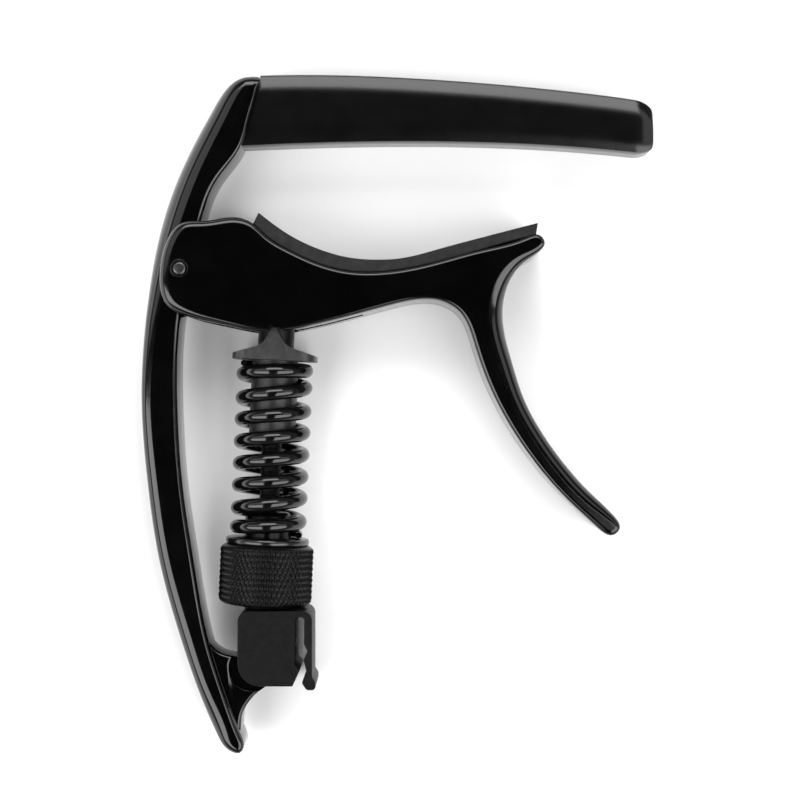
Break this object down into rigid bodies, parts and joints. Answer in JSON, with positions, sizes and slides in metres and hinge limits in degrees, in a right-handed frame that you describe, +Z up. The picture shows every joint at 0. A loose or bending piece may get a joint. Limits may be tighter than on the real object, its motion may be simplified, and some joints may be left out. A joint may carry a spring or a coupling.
{
  "type": "guitar capo",
  "caption": "Trigger guitar capo: a curved spine with a rubber sleeved arm, a sprung lever with a saddle pad, and a strut with a spring, a knurled tension nut and a plectrum clip.",
  "frame": {"origin": "middle of the surface that the capo lies on, under the middle of its outline", "axes": "+Z up from the surface, across the neck's length; +Y from the foot to the arm; +X along the arm to its free end"},
  "size_m": [0.0762, 0.1008, 0.015],
  "materials": {
    "casting": "cast aluminium with a gloss black coat",
    "rubber": "matte black rubber",
    "moulding": "spark-textured black moulding",
    "grey_moulding": "spark-textured dark grey moulding",
    "black_steel": "black oxide, semi-gloss",
    "knurled_metal": "satin black, diamond knurl",
    "tube_steel": "blackened drawn tube, satin",
    "steel_pin": "dark steel",
    "washer_plastic": "black nylon"
  },
  "bodies": {
    "frame_body": {"frame": "casting", "arm_sleeve": "rubber", "pivot_washers": "washer_plastic"},
    "lever_body": {"lever": "casting", "saddle_pad": "rubber", "lever_pivot_pin": "steel_pin"},
    "foot_body": {"pick_holder": "moulding", "tension_screw": "black_steel", "foot_pin": "steel_pin", "spring": "black_steel"},
    "plunger_body": {"plunger": "grey_moulding", "guide_post": "tube_steel"},
    "washer_body": {"tension_washer": "black_steel"},
    "nut_body": {"adjusting_nut": "knurled_metal"}
  },
  "joints": [
    {"name": "lever_pivot", "type": "hinge", "parent": "frame_body", "child": "lever_body", "pos_m": [-0.0322, 0.0213, 0.0075], "axis": [0, 0, 1], "range_deg": [-20, 0], "stiffness_Nm_per_rad": 1.2, "springref_deg": 0.69},
    {"name": "foot_pivot", "type": "hinge", "parent": "frame_body", "child": "foot_body", "pos_m": [-0.0205, -0.0367, 0.0075], "axis": [0, 0, 1], "range_deg": [0, 4.55]},
    {"name": "plunger_slide", "type": "slide", "parent": "foot_body", "child": "plunger_body", "axis": [0.0434, 0.9991, 0], "range_m": [-0.00426, 0], "deforming": ["spring"]},
    {"name": "tension_travel", "type": "slide", "parent": "foot_body", "child": "washer_body", "axis": [0.0434, 0.9991, 0], "range_m": [0, 0.003]},
    {"name": "nut_spin", "type": "hinge", "parent": "washer_body", "child": "nut_body", "pos_m": [-0.01995, -0.02411, 0.0075], "axis": [0.0434, 0.9991, 0], "range_deg": [0, 2160.1]}
  ],
  "couplings": [
    {"joint": "foot_pivot", "follows": "lever_pivot", "ratio": -0.22638},
    {"joint": "plunger_slide", "follows": "lever_pivot", "m_per_rad": 0.012145},
    {"joint": "nut_spin", "follows": "tension_travel", "rad_per_m": 12566}
  ]
}
